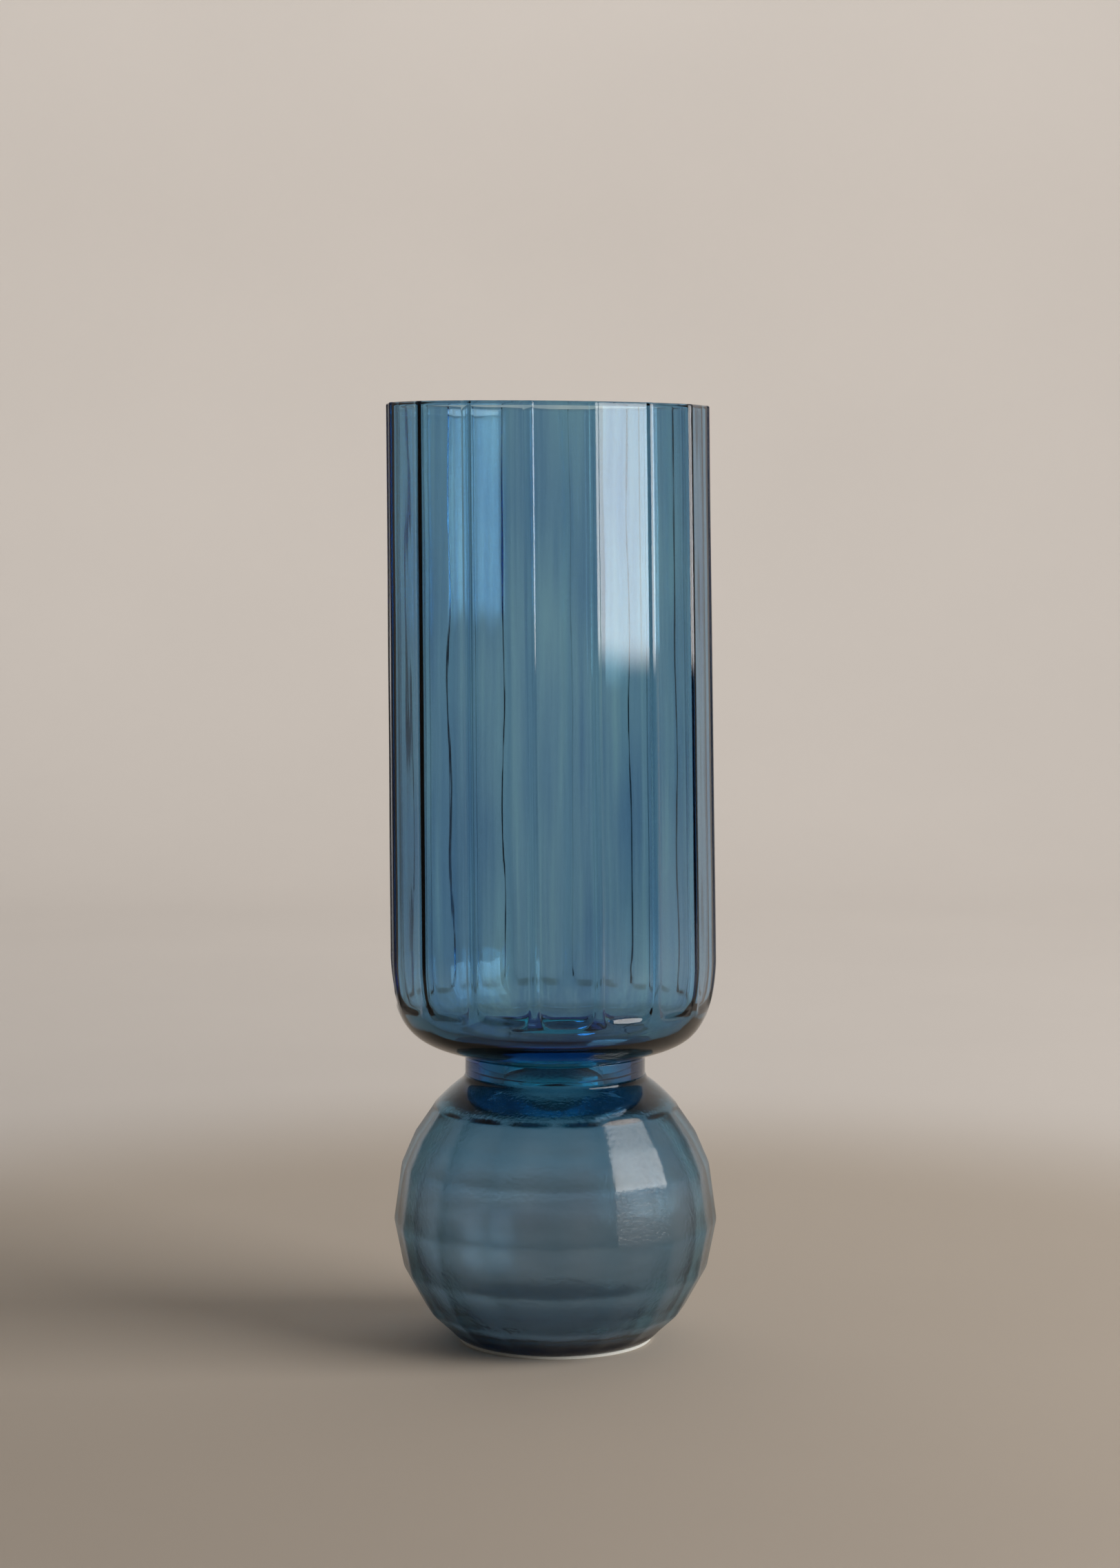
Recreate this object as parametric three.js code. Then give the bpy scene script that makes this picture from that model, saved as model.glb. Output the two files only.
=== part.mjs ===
// A tall glass vase: a panelled cup, a short thick neck collar, a faceted ball and a thin ground foot.
// Millimetres, +Z up. The origin is the centre of the flat base, and the front of the vase faces -Y.

import * as THREE from "three";

const point = (radius, z) => new THREE.Vector2(radius, z);

// ---- Driving dimensions -------------------------------------------------------------------------

const HEIGHT = 300;
const JOINT_GAP = 0.3; // between neighbouring pieces, where the real glass is fused

const PANELS = 16;
const COLUMNS_PER_PANEL = 3;

const FOOT_RADIUS = 31;
const FOOT_INNER_RADIUS = 22;
const FOOT_HEIGHT = 1;
const FOOT_CHAMFER = 0.3;

const BALL_RADIUS = 52.3;
const BALL_UPPER_REACH = 53.7; // above and below its middle the ball is half an ellipse this high
const BALL_LOWER_REACH = 50.5;
const BALL_MIDDLE_Z = 40.6;
const BALL_WALL = 4.5;
const BALL_FLOOR = 5;
const BALL_FLOOR_RADIUS = 27; // the flat part of the inside
const BALL_BASE_RADIUS = 32.5;
const FACET_LATITUDES = [-37, -20, -2, 18, 30, 41]; // 30 only bows the tall upper belt
const SHOULDER_LATITUDES = [46, 51, 55];
const HOLLOW_LATITUDES = [45, 30, 15, 0, -15, -30, -42];
const THROAT_STEPS = 4;
const FACET_TURN_DEG = -0.3;

const NECK_RADIUS = 29;
const NECK_BORE_RADIUS = 16.5;
const NECK_BOTTOM_Z = 86.4;
const NECK_TOP_Z = 92.6;
const NECK_CHAMFER = 0.4;
const BORE_MOUTH_CHAMFER = 3; // where the bore opens into the cup

const CUP_RADIUS = 52.7;
const CUP_WALL = 4.5;
const CUP_BEND_TOP_Z = 123.2;
const CUP_BEND_STEPS = 10;
const CUP_BEND_NECK_PULL = point(11, 4); // how far each handle of the bend's curve reaches
const CUP_BEND_WALL_PULL = point(-1.2, 3);
const CUP_FLOOR_Z = 99.5;
const CUP_HOLLOW_STEPS = 7;
const CUP_HOLLOW_WALL_PULL = point(-1, 4);
const CUP_HOLLOW_FLOOR_PULL = point(-9, 0.5);
const RIM_RADIUS = 51.6;
const RIM_CHAMFER = 1;
const PANEL_END_Z = 109.6;
const PANEL_END_SLOPE = 3;
const RIDGE_WIDTH = 2;
const RIDGE_TURN_DEG = -5.1;

// ---- Materials ----------------------------------------------------------------------------------

const glass = (color, roughness) => new THREE.MeshStandardMaterial({ color, roughness, metalness: 0 });
const cupGlass = glass(0x4f7c93, 0.05);
const neckGlass = glass(0x0f456e, 0.05);
const ballGlass = glass(0x4a5d69, 0.25);
const footGlass = glass(0xb9bdb8, 0.4);

// ---- Turning sections into solids ---------------------------------------------------------------

const panelAngle = (2 * Math.PI) / PANELS;
const curve = (start, startPull, endPull, end, steps) =>
  new THREE.CubicBezierCurve(start, startPull, endPull, end).getPoints(steps);

// Turns a section of (radius, z) points round the Z axis. It runs up the outside and down the
// inside, and closes on itself unless it starts on the axis. shape(corner, panel, place) gives the
// radius and angle of a corner of the section, so that flats can be pressed into the round form:
// panel is the panel's number and place is the column within it.
function turned(section, shape = roundShape) {
  const outline = section[0].x === 0 ? section : [...section, section[0]];
  const geometry = new THREE.LatheGeometry(outline, PANELS * COLUMNS_PER_PANEL);
  const position = geometry.getAttribute("position");
  for (let i = 0; i < position.count; i += 1) {
    const corner = outline[i % outline.length];
    const column = Math.floor(i / outline.length);
    const panel = Math.floor(column / COLUMNS_PER_PANEL) % PANELS;
    const { radius, angle } = shape(corner, panel, column % COLUMNS_PER_PANEL);
    position.setXYZ(i, radius * Math.sin(angle), -radius * Math.cos(angle), corner.y);
  }
  geometry.computeVertexNormals();
  return geometry;
}

function roundShape(corner, panel, place) {
  return { radius: corner.x, angle: (panel + place / COLUMNS_PER_PANEL) * panelAngle };
}

// ---- The foot: a thin flat ring with a ground underside -----------------------------------------

function footGeometry() {
  return turned([
    point(FOOT_INNER_RADIUS, 0),
    point(FOOT_RADIUS - FOOT_CHAMFER, 0),
    point(FOOT_RADIUS, FOOT_CHAMFER),
    point(FOOT_RADIUS, FOOT_HEIGHT),
    point(FOOT_INNER_RADIUS, FOOT_HEIGHT),
  ]);
}

// ---- The ball: belts of flat facets under a smooth shoulder, hollow and open through the neck ---

// A point at a latitude, on the outside of the ball or at a depth under it.
function onBall(latitudeDeg, depth = 0) {
  const latitude = THREE.MathUtils.degToRad(latitudeDeg);
  const reach = latitude > 0 ? BALL_UPPER_REACH : BALL_LOWER_REACH;
  return point(
    (BALL_RADIUS - depth) * Math.cos(latitude),
    BALL_MIDDLE_Z + (reach - depth) * Math.sin(latitude),
  );
}

function ballShape(corner, panel, place) {
  const fromMiddle = (place / COLUMNS_PER_PANEL - 0.5) * panelAngle;
  const flat = Math.cos(panelAngle / 2) / Math.cos(fromMiddle);
  const isOnFacet = corner.isFacet === true;
  const turn = THREE.MathUtils.degToRad(FACET_TURN_DEG);
  return {
    radius: isOnFacet ? corner.x * flat : corner.x,
    angle: (panel + 0.5) * panelAngle + fromMiddle + turn,
  };
}

function ballGeometry() {
  const baseZ = FOOT_HEIGHT + JOINT_GAP;
  const floorZ = baseZ + BALL_FLOOR;
  const topZ = NECK_BOTTOM_Z - JOINT_GAP / 2;
  const facets = FACET_LATITUDES.map((latitude) => onBall(latitude));
  facets.forEach((corner) => {
    corner.isFacet = true;
  });
  const shoulder = SHOULDER_LATITUDES.map((latitude) => onBall(latitude));
  const hollow = HOLLOW_LATITUDES.map((latitude) => onBall(latitude, BALL_WALL));
  const throat = curve(
    point(NECK_BORE_RADIUS, topZ),
    point(NECK_BORE_RADIUS, topZ - BALL_WALL),
    point(NECK_BORE_RADIUS + BALL_WALL, topZ - 2 * BALL_WALL),
    hollow[0],
    THROAT_STEPS,
  ).slice(0, -1);
  return turned(
    [
      point(0, baseZ),
      point(BALL_BASE_RADIUS, baseZ),
      ...facets,
      ...shoulder,
      point(NECK_RADIUS, topZ),
      ...throat,
      ...hollow,
      point(BALL_FLOOR_RADIUS, floorZ),
      point(0, floorZ),
    ],
    ballShape,
  );
}

// ---- The neck collar: a short thick ring between the ball and the cup ---------------------------

function neckGeometry() {
  return turned([
    point(NECK_BORE_RADIUS, NECK_BOTTOM_Z),
    point(NECK_RADIUS - NECK_CHAMFER, NECK_BOTTOM_Z),
    point(NECK_RADIUS, NECK_BOTTOM_Z + NECK_CHAMFER),
    point(NECK_RADIUS, NECK_TOP_Z - NECK_CHAMFER),
    point(NECK_RADIUS - NECK_CHAMFER, NECK_TOP_Z),
    point(NECK_BORE_RADIUS, NECK_TOP_Z),
  ]);
}

// ---- The cup: flat panels between narrow upright ridges, over a rounded bottom ------------------

// Flat panels start above PANEL_END_Z on the outside, and the ridges between them stay round.
function cupShape(corner, panel, place) {
  const flatHalf = panelAngle / 2 - RIDGE_WIDTH / 2 / CUP_RADIUS;
  const turn = THREE.MathUtils.degToRad(RIDGE_TURN_DEG) + panelAngle / 2;
  const fromMiddle = [0, flatHalf, panelAngle - flatHalf][place];
  const press = THREE.MathUtils.smoothstep(corner.y, PANEL_END_Z, PANEL_END_Z + PANEL_END_SLOPE);
  const isPressed = place === 0 && corner.isOutside === true;
  const flat = isPressed ? THREE.MathUtils.lerp(1, Math.cos(flatHalf), press) : 1;
  return { radius: corner.x * flat, angle: panel * panelAngle + fromMiddle + turn };
}

function cupGeometry() {
  const underside = NECK_TOP_Z + JOINT_GAP / 2;
  const rimInner = RIM_RADIUS - CUP_WALL;
  const bendInner = CUP_RADIUS - CUP_WALL;
  const outside = [
    ...curve(
      point(NECK_RADIUS, underside),
      point(NECK_RADIUS, underside).add(CUP_BEND_NECK_PULL),
      point(CUP_RADIUS, underside).add(CUP_BEND_WALL_PULL),
      point(CUP_RADIUS, CUP_BEND_TOP_Z),
      CUP_BEND_STEPS,
    ),
    point(RIM_RADIUS, HEIGHT - RIM_CHAMFER),
    point(RIM_RADIUS - RIM_CHAMFER, HEIGHT),
  ];
  outside.forEach((corner) => {
    corner.isOutside = true;
  });
  const inside = [
    point(rimInner + RIM_CHAMFER, HEIGHT),
    point(rimInner, HEIGHT - RIM_CHAMFER),
    ...curve(
      point(bendInner, CUP_BEND_TOP_Z),
      point(bendInner, CUP_FLOOR_Z).add(CUP_HOLLOW_WALL_PULL),
      point(bendInner, CUP_FLOOR_Z).add(CUP_HOLLOW_FLOOR_PULL),
      point(NECK_BORE_RADIUS + BORE_MOUTH_CHAMFER, CUP_FLOOR_Z),
      CUP_HOLLOW_STEPS,
    ),
    point(NECK_BORE_RADIUS, CUP_FLOOR_Z - BORE_MOUTH_CHAMFER),
    point(NECK_BORE_RADIUS, underside),
  ];
  return turned([...outside, ...inside], cupShape);
}

// ---- The vase -----------------------------------------------------------------------------------

const vase = new THREE.Group();

function add(name, geometry, material) {
  const mesh = new THREE.Mesh(geometry, material);
  mesh.name = name;
  vase.add(mesh);
}

add("foot_ring", footGeometry(), footGlass);
add("ball", ballGeometry(), ballGlass);
add("neck_collar", neckGeometry(), neckGlass);
add("cup", cupGeometry(), cupGlass);

export default vase;
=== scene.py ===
import math

import bpy
import numpy as np
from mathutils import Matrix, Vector


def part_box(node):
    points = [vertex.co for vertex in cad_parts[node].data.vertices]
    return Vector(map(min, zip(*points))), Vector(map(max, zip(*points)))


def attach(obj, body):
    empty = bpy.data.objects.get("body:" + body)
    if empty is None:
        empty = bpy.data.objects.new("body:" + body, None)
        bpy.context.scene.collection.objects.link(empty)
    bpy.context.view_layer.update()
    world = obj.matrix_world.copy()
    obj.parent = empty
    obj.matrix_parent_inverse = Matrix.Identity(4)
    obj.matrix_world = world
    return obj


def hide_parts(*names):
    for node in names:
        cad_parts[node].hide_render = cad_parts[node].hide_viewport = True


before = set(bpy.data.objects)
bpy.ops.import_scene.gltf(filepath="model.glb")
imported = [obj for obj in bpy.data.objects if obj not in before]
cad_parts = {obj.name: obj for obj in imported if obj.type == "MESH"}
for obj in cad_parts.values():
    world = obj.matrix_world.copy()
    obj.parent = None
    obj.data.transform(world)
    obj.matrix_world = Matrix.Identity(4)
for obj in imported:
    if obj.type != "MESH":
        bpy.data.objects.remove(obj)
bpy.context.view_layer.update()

# ---- Sizes, in millimetres unless a name says otherwise ------------------------------------------

MM = 0.001


def heights(cad_node):
    """The lowest and highest point of a CAD node, in millimetres."""
    low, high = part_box(cad_node)
    return low.z / MM, high.z / MM


def outer_radius(cad_node):
    """Half the width of a CAD node along X, in millimetres."""
    low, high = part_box(cad_node)
    return (high.x - low.x) / 2 / MM


FOOT_LOW, FOOT_HIGH = heights("foot_ring")
NECK_LOW, NECK_HIGH = heights("neck_collar")
RIM_TOP = heights("cup")[1]
FOOT_RADIUS = outer_radius("foot_ring")
NECK_RADIUS = outer_radius("neck_collar")
CUP_RADIUS = outer_radius("cup")
BALL_RADIUS = outer_radius("ball")

SEAM = 0.04  # hair gap between two pieces of fused glass, so that no two faces lie in one plane

# Sixteen panels round the cup, and sixteen facets in each belt of the ball.
PANELS = 16
PANEL_ANGLE = 2 * math.pi / PANELS

CUP_WALL = 4.4
CUP_BEND_TOP = NECK_HIGH + 30.6
CUP_FLOOR = NECK_HIGH + 7
CUP_LEAN = 0.0100  # sideways millimetres for each millimetre of height
CUP_OFFSET = 0.58  # how far to the left it stands on the neck
CUP_OFFSET_RISE = 12  # the height over which that comes in
RIM_RADIUS = CUP_RADIUS - 1.0
RIM_STRAIGHT = 3  # how much of the wall under the rim is upright
RIM_ROUNDING = 0.6
RIM_TILT = 0.5  # how much lower the rim is on the right, and higher on the left
RIM_TILT_START = 20  # how far above the neck the tilt sets in
RIDGE_TURN = math.radians(-6.2)
RIDGE_HALF_WIDTH = 1.7
RIDGE_HEIGHT = 0.6
RIDGE_FLANK = math.radians(68)  # half the arc that a ridge's section spans
PANEL_END = NECK_HIGH + 17
PANEL_EDGE = 1.6  # how far a panel's lower end eases out, up and down
PANEL_CORNER = 3.5
INNER_IMPRINT = 0.5  # how deep the panels show on the inside

NECK_BORE = 16.3
NECK_EDGE = 0.35

BALL_MIDDLE = 40.6  # the height of its widest part
BALL_UPPER_REACH = 53.7  # from there to the top of the ellipse that the outside follows
BALL_LOWER_REACH = 50.5  # and to its bottom
BALL_WALL = 4.2
BALL_FLOOR = FOOT_HIGH + 5.0
BALL_BASE_RADIUS = FOOT_RADIUS + 1.2
BALL_BASE_EDGE = (1, 0.6)  # how far in and how far up the slope at the edge of its base goes
BALL_POLE = 4  # the radius where its flat underside and floor close to a point on the axis
FACET_LATITUDES = (-37, -20, -2, 18, 30, 41)  # degrees from the middle, where one belt meets the next
FACET_TURN = math.radians(-0.3)
SHOULDER_LATITUDES = (43, 45, 47, 49, 51, 53, 54)
SHOULDER_FILLET = (0.5, 1.4)  # how far out and how far down the fillet under the neck starts
SHOULDER_THICKENING = 1.8  # how much thicker the wall is by the throat
THROAT_LATITUDE = 42
THROAT_PULLS = (8, 7)  # how far the throat's curve keeps to the bore, and then to the wall
HOLLOW_LATITUDES = range(THROAT_LATITUDE, -47, -4)

FOOT_INNER_RADIUS = FOOT_RADIUS - 9
FOOT_EDGE = 0.3


# ---- Curves and surfaces -------------------------------------------------------------------------


def bezier(start, start_pull, end_pull, end, count):
    """Points on a cubic Bezier curve, from start up to, but not including, its end: each is the four
    given points added up with the weights (1-t)^3, 3t(1-t)^2, 3t^2(1-t) and t^3."""
    t = np.linspace(0, 1, count, endpoint=False)[:, None]
    a, b, c, d = (np.array(p, float) for p in (start, start_pull, end_pull, end))
    return (1 - t) ** 3 * a + 3 * t * (1 - t) ** 2 * b + 3 * t * t * (1 - t) * c + t**3 * d


def straight(start, end, count):
    """Points evenly spaced on a straight line, from start up to, but not including, its end."""
    t = np.linspace(0, 1, count, endpoint=False)[:, None]
    return (1 - t) * np.array(start, float) + t * np.array(end, float)


def softened(corners, step, softness):
    """Points a step apart along a line of straight stretches, with soft corners: each point is the
    average of its neighbours, weighted by a bell curve whose spread is softness."""
    corners = np.array(corners, float)
    run = np.concatenate([[0], np.cumsum(np.hypot(*np.diff(corners, axis=0).T))])
    at = np.linspace(0, run[-1], int(run[-1] / step) + 1)
    points = np.stack([np.interp(at, run, corners[:, k]) for k in (0, 1)], axis=1)
    reach = int(math.ceil(3 * softness / step))
    offsets = np.arange(-reach, reach + 1) * step
    weights = np.exp(-0.5 * (offsets / softness) ** 2)
    weights /= weights.sum()
    padded = np.pad(points, ((reach, reach), (0, 0)), mode="reflect", reflect_type="odd")
    return np.stack([np.convolve(padded[:, k], weights, mode="valid") for k in (0, 1)], axis=1)


def smooth_step(value, low, high):
    """0 below low and 1 above high, with the cubic ease 3t^2 - 2t^3 between them."""
    t = np.clip((value - low) / (high - low), 0, 1)
    return t * t * (3 - 2 * t)


def angles_round(turn, per_panel, crowding):
    """Angles round the vase, crowded towards each edge between two panels: each panel's even
    spacing t has crowding times sin(2 pi t) / (2 pi) taken from it."""
    t = (np.arange(per_panel) + 0.5) / per_panel - 0.5
    within = PANEL_ANGLE * (t - crowding * np.sin(2 * math.pi * t) / (2 * math.pi))
    return (turn + PANEL_ANGLE * np.arange(PANELS)[:, None] + within).ravel()


def ripple(angle, height, seed, amplitude):
    """The slow waviness of hand-worked glass: five sine waves round the vase, of 3 to 14 lobes each,
    added up. Each drifts round with height, by at most one whole wave in 35 to 90 mm."""
    draw = np.random.default_rng(seed)
    total = 0.0
    for _ in range(5):
        lobes = draw.integers(3, 15)
        rise = draw.uniform(-1, 1) * 2 * math.pi / draw.uniform(35, 90)
        phase = draw.uniform(0, 2 * math.pi)
        total = total + np.sin(lobes * angle + rise * height + phase) / 5**0.5
    return amplitude * total


def smooth_object(name, points, faces):
    """A smooth-shaded object in the scene, from points in millimetres and the faces between them."""
    mesh = bpy.data.meshes.new(name)
    mesh.from_pydata((points * MM).tolist(), [], faces)
    mesh.polygons.foreach_set("use_smooth", np.ones(len(mesh.polygons), bool))
    mesh.update()
    made = bpy.data.objects.new(name, mesh)
    bpy.context.scene.collection.objects.link(made)
    return made


def turned_piece(name, radius, height, angle, poles=False, settle=None):
    """A closed surface from grids of radius and height, rows along the section and columns round
    the axis: x is the radius times the sine of the angle and y is minus the radius times its
    cosine, so angle 0 faces -Y. The section runs up the outside and down the inside, and joins
    itself end to end, or ends in a point on the axis at both ends when poles is set. Settle is a
    function that moves the points."""
    radius, height, angle = np.broadcast_arrays(radius, height, angle)
    x, y, z = radius * np.sin(angle), -radius * np.cos(angle), height.astype(float)
    if settle is not None:
        x, y, z = settle(x, y, z)
    rows, columns = x.shape
    points = np.stack([x, y, z], axis=-1).reshape(-1, 3)
    index = np.arange(rows * columns).reshape(rows, columns)
    following = np.roll(index, -1, axis=1)
    if poles:
        low, low_next, high, high_next = index[:-1], following[:-1], index[1:], following[1:]
    else:
        low, low_next = index, following
        high, high_next = np.roll(index, -1, axis=0), np.roll(following, -1, axis=0)
    faces = np.stack([low, low_next, high_next, high], axis=-1).reshape(-1, 4).tolist()
    if poles:
        ends = np.array([[0, 0, z[0].mean()], [0, 0, z[-1].mean()]])
        points = np.concatenate([points, ends])
        first, last = rows * columns, rows * columns + 1
        bottom = np.stack([following[0], index[0], np.full(columns, first)], axis=-1)
        top = np.stack([index[-1], following[-1], np.full(columns, last)], axis=-1)
        faces += bottom.tolist() + top.tolist()
    return smooth_object(name, points, faces)


# ---- The cup -------------------------------------------------------------------------------------


def cup_angles():
    """Angles round the cup. Over a ridge they are the sines of even steps, which crowd them on its
    flanks; over a panel they are even, with two close to each end."""
    steps = np.linspace(-RIDGE_FLANK, RIDGE_FLANK, 11)
    ridge = RIDGE_HALF_WIDTH * np.sin(steps) / math.sin(RIDGE_FLANK)
    width = PANEL_ANGLE * CUP_RADIUS - 2 * RIDGE_HALF_WIDTH
    panel = np.concatenate([[0.15, 0.4], np.linspace(0.9, width - 0.9, 11), [width - 0.4, width - 0.15]])
    across = np.concatenate([ridge, RIDGE_HALF_WIDTH + panel]) / CUP_RADIUS
    return (RIDGE_TURN + PANEL_ANGLE * np.arange(PANELS)[:, None] + across).ravel()


def panel_press(angle, height):
    """How far the outside lies under the round form. Across a panel it is the height of a ridge
    plus the depth of a chord under its arc, and a ridge rises out of it as an arc of an ellipse.
    It holds inside a rectangle with round corners, whose lower end is at PANEL_END, and eases to
    nothing below."""
    turned = (angle - RIDGE_TURN + PANEL_ANGLE / 2) % PANEL_ANGLE - PANEL_ANGLE / 2
    from_ridge = np.abs(turned) * CUP_RADIUS
    half_width = PANEL_ANGLE / 2 * CUP_RADIUS - RIDGE_HALF_WIDTH
    across = PANEL_ANGLE / 2 * CUP_RADIUS - from_ridge
    sine = np.minimum(from_ridge / RIDGE_HALF_WIDTH, 1) * math.sin(RIDGE_FLANK)
    rise = (np.sqrt(1 - sine**2) - math.cos(RIDGE_FLANK)) / (1 - math.cos(RIDGE_FLANK))
    chord = np.cos(half_width / CUP_RADIUS) / np.cos(np.minimum(across, half_width) / CUP_RADIUS)
    depth = RIDGE_HEIGHT * (1 - rise) + CUP_RADIUS * (1 - chord)
    corner = np.clip(across - (half_width - PANEL_CORNER), 0, PANEL_CORNER)
    end = PANEL_END + PANEL_CORNER - np.sqrt(PANEL_CORNER**2 - corner**2)
    return depth * smooth_step(height, end - PANEL_EDGE, end + PANEL_EDGE)


def lean(x, y, z):
    """The cup stands a little to the left and leans that way, as a cup joined hot does, and its rim
    is cut a little out of square, lower on the right: x loses an offset and a share of the height
    above the neck, and z loses a share of x that grows towards the rim."""
    above = z - NECK_HIGH
    tilt = RIM_TILT * smooth_step(above, RIM_TILT_START, RIM_TOP - NECK_HIGH) * x / CUP_RADIUS
    offset = CUP_OFFSET * smooth_step(above, 0, CUP_OFFSET_RISE)
    return x - offset - CUP_LEAN * above, y, z - tilt


def make_cup():
    """Outside: a Bezier bend from the neck to the wall, then a straight taper to a rounded rim.
    Inside: the same going down, a wall's thickness in, then a rounded floor and a bore. The ridges
    stand on the outside only, and the inside has a cosine wave round it that follows the panels."""
    low = NECK_HIGH + SEAM
    r = RIM_ROUNDING
    rim_low = RIM_TOP - RIM_STRAIGHT
    outer_foot, outer_bend = (NECK_RADIUS, low), (CUP_RADIUS, CUP_BEND_TOP)
    outer_foot_pull, outer_bend_pull = (NECK_RADIUS + 11, low + 4), (CUP_RADIUS - 1.2, low + 3)
    outside = np.concatenate([
        bezier(outer_foot, outer_foot_pull, outer_bend_pull, outer_bend, 62),
        straight(outer_bend, (RIM_RADIUS, rim_low), 40),
        straight((RIM_RADIUS, rim_low), (RIM_RADIUS, RIM_TOP - r), 12),
    ])
    inner_rim = RIM_RADIUS - CUP_WALL
    rim = np.concatenate([
        bezier((RIM_RADIUS, RIM_TOP - r), (RIM_RADIUS, RIM_TOP - r / 2),
               (RIM_RADIUS - r / 2, RIM_TOP), (RIM_RADIUS - r, RIM_TOP), 7),
        straight((RIM_RADIUS - r, RIM_TOP), (inner_rim + 2 * r, RIM_TOP), 4),
        bezier((inner_rim + 2 * r, RIM_TOP), (inner_rim + r, RIM_TOP),
               (inner_rim, RIM_TOP - r), (inner_rim, RIM_TOP - 2 * r), 8),
    ])
    inner_side = CUP_RADIUS - CUP_WALL
    inner_bend, floor_end = (inner_side, CUP_BEND_TOP), (NECK_BORE + 4, CUP_FLOOR)
    inner_bend_pull, floor_pull = (inner_side - 0.5, CUP_FLOOR + 2), (inner_side - 7, CUP_FLOOR + 0.2)
    bore_top = (NECK_BORE, CUP_FLOOR - 4)
    inside = np.concatenate([
        straight((inner_rim, RIM_TOP - 2 * r), (inner_rim, rim_low), 9),
        straight((inner_rim, rim_low), inner_bend, 36),
        bezier(inner_bend, inner_bend_pull, floor_pull, floor_end, 30),
        bezier(floor_end, (NECK_BORE + 1.5, CUP_FLOOR), (NECK_BORE, CUP_FLOOR - 1.5), bore_top, 8),
        straight(bore_top, (NECK_BORE, low), 3),
        straight((NECK_BORE, low), outer_foot, 4),
    ])
    section = np.concatenate([outside, rim, inside])
    outside_rows = len(outside) + 8  # the outer quarter of the rim goes with the outside
    is_outside = (np.arange(len(section)) < outside_rows)[:, None].astype(float)
    angle = cup_angles()[None, :]
    radius, height = section[:, 0][:, None], section[:, 1][:, None]
    side = smooth_step(height, PANEL_END - 12, PANEL_END + 20)  # 0 on the bend, 1 up the wall
    imprint = INNER_IMPRINT * (0.5 - 0.5 * np.cos(PANELS * (angle - RIDGE_TURN))) * side
    radius = radius - is_outside * panel_press(angle, height) - (1 - is_outside) * imprint
    outer_wave = ripple(angle, height, seed=3, amplitude=0.03)
    inner_wave = ripple(angle, height, seed=8, amplitude=0.035)
    radius = radius + (is_outside * outer_wave + (1 - is_outside) * inner_wave) * side
    return turned_piece("glass_cup", radius, height, angle, settle=lean)


# ---- The neck collar -----------------------------------------------------------------------------


def make_neck():
    """A thick ring with a Bezier quarter round at each outer edge and a straight bore, with the same
    slight waviness inside and out."""
    low, high = NECK_LOW + SEAM, NECK_HIGH - SEAM
    lower_corner, upper_corner = (NECK_RADIUS, low), (NECK_RADIUS, high)
    under, lower_side = (NECK_RADIUS - NECK_EDGE, low), (NECK_RADIUS, low + NECK_EDGE)
    upper_side, over = (NECK_RADIUS, high - NECK_EDGE), (NECK_RADIUS - NECK_EDGE, high)
    section = np.concatenate([
        straight((NECK_BORE, low), under, 6),
        bezier(under, lower_corner, lower_corner, lower_side, 5),
        straight(lower_side, upper_side, 14),
        bezier(upper_side, upper_corner, upper_corner, over, 5),
        straight(over, (NECK_BORE, high), 6),
        straight((NECK_BORE, high), (NECK_BORE, low), 14),
    ])
    angle = np.linspace(0, 2 * math.pi, 256, endpoint=False)[None, :]
    radius, height = section[:, 0][:, None], section[:, 1][:, None]
    wave = ripple(angle, height, seed=5, amplitude=0.06)
    return turned_piece("glass_neck_collar", radius + wave, height, angle)


# ---- The ball ------------------------------------------------------------------------------------


def on_ball(latitude, depth=0.0):
    """(radius, height) at a latitude in degrees, a depth under the outside: the radius is a half
    width times its cosine and the height a reach times its sine, shorter below the middle."""
    turn = math.radians(latitude)
    reach = BALL_UPPER_REACH if latitude > 0 else BALL_LOWER_REACH
    return (BALL_RADIUS - depth) * math.cos(turn), BALL_MIDDLE + (reach - depth) * math.sin(turn)


def inner_depth(latitude):
    """How deep the ball's inside lies under its outside: a wall's thickness, and more by the throat."""
    return BALL_WALL + SHOULDER_THICKENING * smooth_step(latitude, 5, THROAT_LATITUDE)


def soft_polygon(from_middle):
    """The outline of a polygon with soft corners, as a share of its corner radius: the flat's
    distance over the norm, of a power called sharpness, of the cosines of the angles to this side
    and to its two neighbours."""
    sharpness = 170.0
    total = sum(np.cos(from_middle + k * PANEL_ANGLE) ** sharpness for k in (-1, 0, 1))
    return math.cos(PANEL_ANGLE / 2) / total ** (1 / sharpness)


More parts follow.
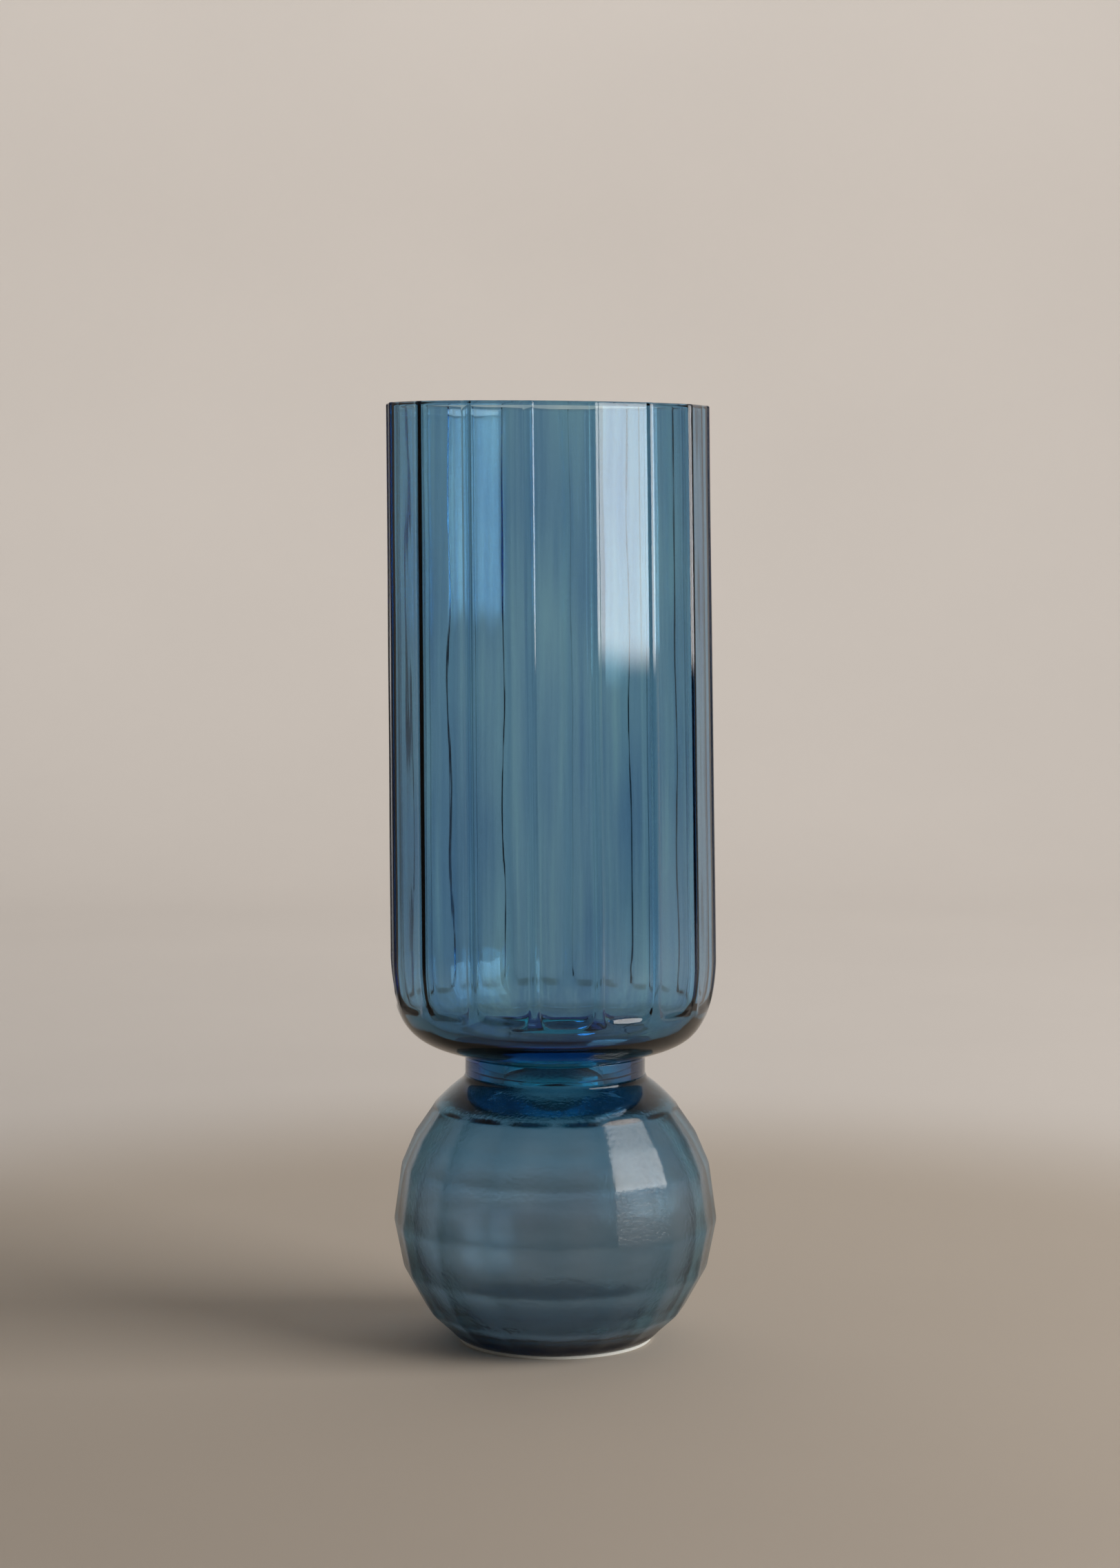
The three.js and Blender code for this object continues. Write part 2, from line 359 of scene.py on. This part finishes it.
def make_ball():
    """Outside: straight belts between the facet latitudes, pulled in to a soft polygon round the
    axis, then a round shoulder and a fillet up to the neck. Inside: a smaller ellipse with a wavy
    belly, which opens through a Bezier throat into the bore."""
    low, high = FOOT_HIGH + SEAM, NECK_LOW - SEAM
    edge_in, edge_up = BALL_BASE_EDGE
    corners = [(BALL_BASE_RADIUS - edge_in, low), (BALL_BASE_RADIUS, low + edge_up)]
    corners += [on_ball(latitude) for latitude in FACET_LATITUDES + SHOULDER_LATITUDES]
    fillet_out, fillet_down = SHOULDER_FILLET
    corners += [(NECK_RADIUS + fillet_out, high - fillet_down), (NECK_RADIUS, high)]
    outside = softened(corners, step=0.75, softness=0.6)
    hollow = [on_ball(latitude, inner_depth(latitude)) for latitude in HOLLOW_LATITUDES]
    throat_end = np.array(hollow[0])
    along_wall = (throat_end - hollow[1]) / math.dist(hollow[0], hollow[1])
    bore_pull, wall_pull = THROAT_PULLS
    floor = [(FOOT_RADIUS - 4, BALL_FLOOR), (BALL_POLE, BALL_FLOOR)]
    inside = np.concatenate([
        bezier((NECK_BORE, high), (NECK_BORE, high - bore_pull),
               throat_end + wall_pull * along_wall, throat_end, 22),
        softened(hollow + floor, step=1.6, softness=2.0),
    ])
    base = straight((BALL_POLE, low), corners[0], 10)
    top = straight((NECK_RADIUS, high), (NECK_BORE, high), 5)[1:]
    section = np.concatenate([base, outside, top, inside])
    is_outside = (np.arange(len(section)) < len(base) + len(outside))[:, None]
    angle = angles_round(FACET_TURN, per_panel=18, crowding=0.75)[None, :]
    radius, height = section[:, 0][:, None], section[:, 1][:, None]
    facet_low, facet_high = low + 1.5, on_ball(FACET_LATITUDES[-1])[1]
    begun = smooth_step(height, facet_low, facet_low + 2)
    ended = smooth_step(height, facet_high - 0.5, facet_high + 0.7)
    faceted = begun * (1 - ended) * is_outside
    from_middle = (angle - FACET_TURN) % PANEL_ANGLE - PANEL_ANGLE / 2
    radius = radius * (1 - faceted * (1 - soft_polygon(from_middle)))
    belly = smooth_step(height, low + 6, low + 16) * (1 - smooth_step(height, high - 16, high - 6))
    inner_wave = ripple(angle, height, seed=12, amplitude=0.15) * belly * (~is_outside)
    return turned_piece("glass_ball", radius + inner_wave, height, angle, poles=True)


# ---- The foot ------------------------------------------------------------------------------------


def make_foot():
    """A thin flat ring with a Bezier quarter round at its lower outer edge."""
    inner = FOOT_INNER_RADIUS
    corner = (FOOT_RADIUS, FOOT_LOW)
    under, side = (FOOT_RADIUS - FOOT_EDGE, FOOT_LOW), (FOOT_RADIUS, FOOT_LOW + FOOT_EDGE)
    section = np.concatenate([
        straight((inner, FOOT_LOW), under, 8),
        bezier(under, corner, corner, side, 5),
        straight(side, (FOOT_RADIUS, FOOT_HIGH), 4),
        straight((FOOT_RADIUS, FOOT_HIGH), (inner, FOOT_HIGH), 8),
        straight((inner, FOOT_HIGH), (inner, FOOT_LOW), 4),
    ])
    angle = np.linspace(0, 2 * math.pi, 256, endpoint=False)[None, :]
    return turned_piece("ground_foot_ring", section[:, 0][:, None], section[:, 1][:, None], angle)


# ---- Materials -----------------------------------------------------------------------------------


def linear(hex_colour):
    """An sRGB hex colour as the linear values that a shader socket takes."""
    channels = [int(hex_colour[k : k + 2], 16) / 255 for k in (1, 3, 5)]
    return [c / 12.92 if c <= 0.04045 else ((c + 0.055) / 1.055) ** 2.4 for c in channels] + [1.0]


def node(owner, kind, settings=None, links=None):
    """Adds a node to a material or a light. Settings are its properties and input values, and links
    are the sources of its inputs, both keyed by name, or by number where inputs share a name."""
    made = owner.node_tree.nodes.new(kind)
    for key, value in (settings or {}).items():
        if isinstance(key, int) or key in made.inputs:
            made.inputs[key].default_value = value
        else:
            setattr(made, key, value)
    for key, source in (links or {}).items():
        owner.node_tree.links.new(source, made.inputs[key])
    return made


def new_material(name):
    """An empty material to add nodes to."""
    material = bpy.data.materials.new(name)
    material.use_nodes = True
    material.node_tree.nodes.clear()
    return material


# A colour Mix node's sockets share their names, so they are given by number.
MIX_SHARE, MIX_FROM, MIX_TO, MIX_RESULT = 0, 6, 7, 2

# The blue inside the glass, as a colour and a density. A metre of glass absorbs each channel at a
# rate of the density times what the colour lacks of white in that channel.
CUP_BLUE, CUP_DENSITY = "#6BCCE7", 205
NECK_BLUE, NECK_DENSITY = "#47E7F2", 320
BALL_BLUE, BALL_DENSITY = "#6BCFDF", 165
GLASS_IOR = 1.5


def mould_blown_glass():
    """Soda glass blown into a ribbed mould. That gives the eye a bright, smooth skin with upright
    drag lines a few millimetres wide, a slow waviness about 22 mm long that bends what is seen
    through it, and upright streaks where the wall is a little thicker and so bluer."""
    material = new_material("mould_blown_blue_soda_glass")
    place = node(material, "ShaderNodeTexCoord").outputs["Object"]
    along_mould = node(material, "ShaderNodeMapping", {"Scale": (1, 1, 0.03)}, {"Vector": place})
    along_wall = node(material, "ShaderNodeMapping", {"Scale": (1, 1, 0.35)}, {"Vector": place})
    drag = node(material, "ShaderNodeTexNoise", {"Scale": 1 / (3.2 * MM), "Detail": 3.0},
                {"Vector": along_mould.outputs["Vector"]}).outputs["Fac"]
    sway = node(material, "ShaderNodeTexNoise", {"Scale": 1 / (22 * MM), "Detail": 1.0},
                {"Vector": along_wall.outputs["Vector"]}).outputs["Fac"]
    sway_bump = node(material, "ShaderNodeBump", {"Distance": 0.05 * MM, "Strength": 1.0},
                     {"Height": sway})
    drag_bump = node(material, "ShaderNodeBump", {"Distance": 0.010 * MM, "Strength": 1.0},
                     {"Height": drag, "Normal": sway_bump.outputs["Normal"]})
    thickness = node(material, "ShaderNodeMath", {"operation": "ADD"}, {0: sway, 1: drag})
    thicker = node(material, "ShaderNodeMapRange", {"From Min": 0.78, "From Max": 1.22},
                   {"Value": thickness.outputs["Value"]})
    streaks = node(material, "ShaderNodeMix",
                   {"data_type": "RGBA", MIX_FROM: linear("#F2F8F8"), MIX_TO: linear("#CAD8E9")},
                   {MIX_SHARE: thicker.outputs["Result"]})
    rough = node(material, "ShaderNodeMapRange", {"To Min": 0.0, "To Max": 0.04}, {"Value": drag})
    shader = node(material, "ShaderNodeBsdfPrincipled", {"IOR": GLASS_IOR, "Transmission Weight": 1.0},
                  {"Base Color": streaks.outputs[MIX_RESULT], "Roughness": rough.outputs["Result"],
                   "Normal": drag_bump.outputs["Normal"]})
    volume = node(material, "ShaderNodeVolumeAbsorption",
                  {"Color": linear(CUP_BLUE), "Density": CUP_DENSITY})
    node(material, "ShaderNodeOutputMaterial", None,
         {"Surface": shader.outputs["BSDF"], "Volume": volume.outputs["Volume"]})
    return material


def fire_polished_glass():
    """The same glass as a thick ring that the flame has polished. That gives the eye a deeper blue
    and a wet gloss with a soft waviness about 9 mm long."""
    material = new_material("fire_polished_blue_soda_glass")
    place = node(material, "ShaderNodeTexCoord").outputs["Object"]
    sway = node(material, "ShaderNodeTexNoise", {"Scale": 1 / (9 * MM), "Detail": 1.0},
                {"Vector": place}).outputs["Fac"]
    bump = node(material, "ShaderNodeBump", {"Distance": 0.03 * MM, "Strength": 1.0}, {"Height": sway})
    rough = node(material, "ShaderNodeMapRange", {"To Min": 0.0, "To Max": 0.05}, {"Value": sway})
    shader = node(material, "ShaderNodeBsdfPrincipled",
                  {"Base Color": linear("#FFFFFF"), "IOR": GLASS_IOR, "Transmission Weight": 1.0},
                  {"Roughness": rough.outputs["Result"], "Normal": bump.outputs["Normal"]})
    volume = node(material, "ShaderNodeVolumeAbsorption",
                  {"Color": linear(NECK_BLUE), "Density": NECK_DENSITY})
    node(material, "ShaderNodeOutputMaterial", None,
         {"Surface": shader.outputs["BSDF"], "Volume": volume.outputs["Volume"]})
    return material


def satin_cut_glass():
    """The same glass with its facets cut and left satin, and its shoulder fire-polished. That gives
    the eye a fine grain that spreads each highlight, a soft inside that blurs what shows through,
    level smears from the cutting, and a clear gloss above the facets. The real grain is about
    0.5 mm, and it is drawn at 1.2 mm so that it shows."""
    material = new_material("satin_cut_blue_soda_glass")
    place = node(material, "ShaderNodeTexCoord").outputs["Object"]

    # A mask, 1 on the outside and 0 on the inside, from the distance to the ball's middle.
    inside_reach = BALL_RADIUS - BALL_WALL
    about_middle = node(material, "ShaderNodeMapping",
                        {"vector_type": "POINT", "Location": (0, 0, -BALL_MIDDLE * MM)},
                        {"Vector": place})
    reach = node(material, "ShaderNodeVectorMath", {"operation": "LENGTH"},
                 {0: about_middle.outputs["Vector"]})
    outside = node(material, "ShaderNodeMapRange",
                   {"From Min": (inside_reach + 0.6) * MM, "From Max": (inside_reach + 1.6) * MM},
                   {"Value": reach.outputs["Value"]})

    # How satin the glass is: 1 everywhere but on the outside above the facets.
    facets_end = on_ball(FACET_LATITUDES[-1])[1]
    height = node(material, "ShaderNodeSeparateXYZ", None, {"Vector": place}).outputs["Z"]
    above = node(material, "ShaderNodeMapRange",
                 {"From Min": facets_end * MM, "From Max": (facets_end + 2.5) * MM}, {"Value": height})
    shoulder = node(material, "ShaderNodeMath", {"operation": "MULTIPLY"},
                    {0: above.outputs["Result"], 1: outside.outputs["Result"]})
    satin = node(material, "ShaderNodeMapRange", {"To Min": 1.0, "To Max": 0.15},
                 {"Value": shoulder.outputs["Value"]}).outputs["Result"]

    grain = node(material, "ShaderNodeTexNoise", {"Scale": 1 / (1.2 * MM), "Detail": 2.0},
                 {"Vector": place}).outputs["Fac"]
    sway = node(material, "ShaderNodeTexNoise", {"Scale": 1 / (16 * MM), "Detail": 1.0},
                {"Vector": place}).outputs["Fac"]
    sway_bump = node(material, "ShaderNodeBump", {"Distance": 0.05 * MM, "Strength": 1.0},
                     {"Height": sway})
    grain_height = node(material, "ShaderNodeMath", {"operation": "MULTIPLY"}, {0: grain, 1: satin})
    grain_bump = node(material, "ShaderNodeBump", {"Distance": 0.08 * MM, "Strength": 1.0},
                      {"Height": grain_height.outputs["Value"], "Normal": sway_bump.outputs["Normal"]})
    rough = node(material, "ShaderNodeMapRange", {"To Min": 0.13, "To Max": 0.29}, {"Value": grain})
    polished = node(material, "ShaderNodeMath", {"operation": "MULTIPLY"},
                    {0: rough.outputs["Result"], 1: satin})

    along_cut = node(material, "ShaderNodeMapping", {"Scale": (0.3, 0.3, 1)}, {"Vector": place})
    smears = node(material, "ShaderNodeTexNoise", {"Scale": 1 / (8 * MM), "Detail": 2.0},
                  {"Vector": along_cut.outputs["Vector"]})
    smeared = node(material, "ShaderNodeMapRange", {"From Min": 0.20, "From Max": 0.80},
                   {"Value": smears.outputs["Fac"]})
    shade = node(material, "ShaderNodeMix",
                 {"data_type": "RGBA", MIX_FROM: linear("#E7EAF6"), MIX_TO: linear("#CCCFDE")},
                 {MIX_SHARE: smeared.outputs["Result"]})

    shader = node(material, "ShaderNodeBsdfPrincipled", {"IOR": GLASS_IOR, "Transmission Weight": 1.0},
                  {"Base Color": shade.outputs[MIX_RESULT], "Roughness": polished.outputs["Value"],
                   "Normal": grain_bump.outputs["Normal"]})
    volume = node(material, "ShaderNodeVolumeAbsorption",
                  {"Color": linear(BALL_BLUE), "Density": BALL_DENSITY})
    node(material, "ShaderNodeOutputMaterial", None,
         {"Surface": shader.outputs["BSDF"], "Volume": volume.outputs["Volume"]})
    return material


def wheel_ground_glass():
    """Clear glass ground flat on a wheel. That gives the eye a milky white edge with a matt speckle.
    The real grit marks are about 0.1 mm, and they are drawn at 0.4 mm so that they show."""
    material = new_material("wheel_ground_clear_glass")
    place = node(material, "ShaderNodeTexCoord").outputs["Object"]
    grit = node(material, "ShaderNodeTexNoise", {"Scale": 1 / (0.4 * MM), "Detail": 3.0},
                {"Vector": place}).outputs["Fac"]
    shade = node(material, "ShaderNodeMix",
                 {"data_type": "RGBA", MIX_FROM: linear("#C9CDC8"), MIX_TO: linear("#EDEEEA")},
                 {MIX_SHARE: grit})
    bump = node(material, "ShaderNodeBump", {"Distance": 0.02 * MM, "Strength": 1.0}, {"Height": grit})
    rough = node(material, "ShaderNodeMapRange", {"To Min": 0.35, "To Max": 0.6}, {"Value": grit})
    shader = node(material, "ShaderNodeBsdfPrincipled", {"IOR": GLASS_IOR},
                  {"Base Color": shade.outputs[MIX_RESULT], "Roughness": rough.outputs["Result"],
                   "Normal": bump.outputs["Normal"]})
    node(material, "ShaderNodeOutputMaterial", None, {"Surface": shader.outputs["BSDF"]})
    return material


def matt_emulsion():
    """Matt emulsion on board, taupe round the vase and pale further off, with painted shade: grey far
    to the left, the side away from the softbox, and darker in front of the vase, where the room is
    unlit, so that the glass mirrors something dark. That gives the eye a soft backdrop with no gloss
    and a faint mottle 0.25 m wide. Its distances are in metres."""
    material = new_material("matt_emulsion_on_board")
    place = node(material, "ShaderNodeTexCoord").outputs["Object"]
    split = node(material, "ShaderNodeSeparateXYZ", None, {"Vector": place})
    on_floor = node(material, "ShaderNodeMapping", {"Scale": (1, 1, 0)}, {"Vector": place})
    reach = node(material, "ShaderNodeVectorMath", {"operation": "LENGTH"},
                 {0: on_floor.outputs["Vector"]})
    far_off = node(material, "ShaderNodeMapRange",
                   {"interpolation_type": "SMOOTHSTEP", "From Min": 0.26, "From Max": 0.50},
                   {"Value": reach.outputs["Value"]})
    # Painted shade: the backdrop turns grey far to the left, the side away from the softbox.
    painted_left_shade = node(material, "ShaderNodeMapRange",
                   {"interpolation_type": "SMOOTHSTEP", "From Min": -0.6, "From Max": -1.2},
                   {"Value": split.outputs["X"]})
    # Painted shade: darker in front of the vase, standing in for the unlit camera side of the room,
    # which the glass mirrors.
    painted_front_shade = node(material, "ShaderNodeMapRange",
                    {"interpolation_type": "SMOOTHSTEP", "From Min": -0.30, "From Max": -0.60},
                    {"Value": split.outputs["Y"]})
    taupe_to_pale = node(material, "ShaderNodeMix",
                         {"data_type": "RGBA", MIX_FROM: linear("#C0B5A8"), MIX_TO: linear("#DFD9D3")},
                         {MIX_SHARE: far_off.outputs["Result"]})
    with_left_shade = node(material, "ShaderNodeMix", {"data_type": "RGBA", MIX_TO: linear("#A8A29B")},
                  {MIX_SHARE: painted_left_shade.outputs["Result"], MIX_FROM: taupe_to_pale.outputs[MIX_RESULT]})
    # The painted front shade goes over the painted left shade and the floor and backdrop tones.
    deeper = node(material, "ShaderNodeMix", {"data_type": "RGBA", MIX_TO: linear("#7C7670")},
                  {MIX_SHARE: painted_front_shade.outputs["Result"], MIX_FROM: with_left_shade.outputs[MIX_RESULT]})
    mottle = node(material, "ShaderNodeTexNoise", {"Scale": 1 / 0.25, "Detail": 3.0}, {"Vector": place})
    mottled = node(material, "ShaderNodeMapRange", {"To Min": 0.96, "To Max": 1.04},
                   {"Value": mottle.outputs["Fac"]})
    painted = node(material, "ShaderNodeVectorMath", {"operation": "SCALE"},
                   {0: deeper.outputs[MIX_RESULT], "Scale": mottled.outputs["Result"]})
    shader = node(material, "ShaderNodeBsdfPrincipled", {"Roughness": 0.9},
                  {"Base Color": painted.outputs["Vector"]})
    node(material, "ShaderNodeOutputMaterial", None, {"Surface": shader.outputs["BSDF"]})
    return material


# ---- The object ----------------------------------------------------------------------------------

for make, cad_node, glass, slot in (
    (make_cup, "cup", mould_blown_glass, "cup_glass"),
    (make_neck, "neck_collar", fire_polished_glass, "neck_glass"),
    (make_ball, "ball", satin_cut_glass, "ball_glass"),
    (make_foot, "foot_ring", wheel_ground_glass, "foot_glass"),
):
    piece = make()
    piece.data.materials.append(glass())
    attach(piece, "root")
    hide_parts(cad_node)


# ---- The stage -----------------------------------------------------------------------------------


def make_cove():
    """A round floor that turns up into a wall all round: a flat disc, a quarter circle and a
    cylinder, turned about the upright axis. It faces in and up, and lies a hair under the foot."""
    floor_radius, turn_radius, wall_height, below_foot = 1200.0, 500.0, 2100.0, 0.02
    t = np.linspace(0, math.pi / 2, 24)
    corner = np.stack([floor_radius + turn_radius * np.sin(t), turn_radius * (1 - np.cos(t))], axis=1)
    wall_top = [(floor_radius + turn_radius, wall_height)]
    section = np.concatenate([straight((1, 0), (floor_radius, 0), 12), corner, wall_top])
    angle = np.linspace(0, 2 * math.pi, 128, endpoint=False)
    radius, height = section[:, 0][:, None], section[:, 1][:, None] - below_foot
    x, y, z = radius * np.sin(angle), -radius * np.cos(angle), height + 0 * angle
    points = np.stack([x, y, z], axis=-1).reshape(-1, 3)
    index = np.arange(len(points)).reshape(len(section), len(angle))
    following = np.roll(index, -1, axis=1)
    faces = np.stack([index[:-1], index[1:], following[1:], following[:-1]], axis=-1)
    return smooth_object("cove", points, faces.reshape(-1, 4).tolist() + [index[0].tolist()])


cove = make_cove()
cove.data.materials.append(matt_emulsion())


# ---- Light and camera, in metres -----------------------------------------------------------------


def graduate(light, lower_edge, top):
    """Shapes a light's strength by height: nothing below a soft lower edge, given as two heights,
    then 1.45 times its power, which falls in a straight line to 0.85 times at the top."""
    light.use_nodes = True
    position = node(light, "ShaderNodeNewGeometry").outputs["Position"]
    height = node(light, "ShaderNodeSeparateXYZ", None, {"Vector": position}).outputs["Z"]
    edge = node(light, "ShaderNodeMapRange",
                {"interpolation_type": "SMOOTHSTEP", "From Min": lower_edge[0],
                 "From Max": lower_edge[1]}, {"Value": height})
    fall = node(light, "ShaderNodeMapRange",
                {"From Min": lower_edge[1], "From Max": top, "To Min": 1.45, "To Max": 0.85},
                {"Value": height})
    strength = node(light, "ShaderNodeMath", {"operation": "MULTIPLY"},
                    {0: edge.outputs["Result"], 1: fall.outputs["Result"]})
    emission = light.node_tree.nodes["Emission"]
    light.node_tree.links.new(strength.outputs["Value"], emission.inputs["Strength"])


def soft_light(name, place, facing, size, power, colour):
    """A rectangular soft light at a place that faces along a direction."""
    light = bpy.data.lights.new(name, "AREA")
    light.shape = "RECTANGLE"
    light.size, light.size_y = size
    light.energy = power
    light.color = linear(colour)[:3]
    lamp = bpy.data.objects.new(name, light)
    lamp.location = place
    lamp.rotation_euler = Vector(facing).to_track_quat("-Z", "Y").to_euler()
    bpy.context.scene.collection.objects.link(lamp)
    return light


# An upright softbox to the right of the camera and level with the vase, whose image in the cup ends
# in a soft edge, and a light on the backdrop.
SOFTBOX_TURN = math.radians(70)
SOFTBOX_DISTANCE = 1.3
SOFTBOX_HEIGHT = 0.82
across, along = math.sin(SOFTBOX_TURN), math.cos(SOFTBOX_TURN)
softbox_place = (SOFTBOX_DISTANCE * across, -SOFTBOX_DISTANCE * along, SOFTBOX_HEIGHT)
softbox = soft_light("upright_softbox", softbox_place, facing=(-across, along, 0),
                     size=(1.1, 1.3), power=24.5, colour="#FFFBF7")
graduate(softbox, lower_edge=(0.170, 0.195), top=0.9)
soft_light("backdrop_light", (0.1, 0.7, 1.45), facing=(0, 1, -0.8),
           size=(1.8, 0.5), power=8, colour="#FFFFFF")

world = bpy.data.worlds.new("soft_studio")
world.use_nodes = True
background = world.node_tree.nodes["Background"]
background.inputs["Color"].default_value = (1, 0.97, 0.93, 1)
background.inputs["Strength"].default_value = 0.14
bpy.context.scene.world = world

CAMERA_DISTANCE, CAMERA_HEIGHT, CAMERA_SIDE = 1.114, 0.272, 0.0015
CAMERA_PITCH = math.radians(4.75)
CAMERA_LENS = 80.3  # millimetres

camera = bpy.data.objects.new("camera", bpy.data.cameras.new("camera"))
camera.data.lens = CAMERA_LENS
camera.location = (CAMERA_SIDE, -CAMERA_DISTANCE, CAMERA_HEIGHT)
camera.rotation_euler = (math.pi / 2 - CAMERA_PITCH, 0, 0)
bpy.context.scene.collection.objects.link(camera)
bpy.context.scene.camera = camera
bpy.context.scene.view_settings.view_transform = "Standard"
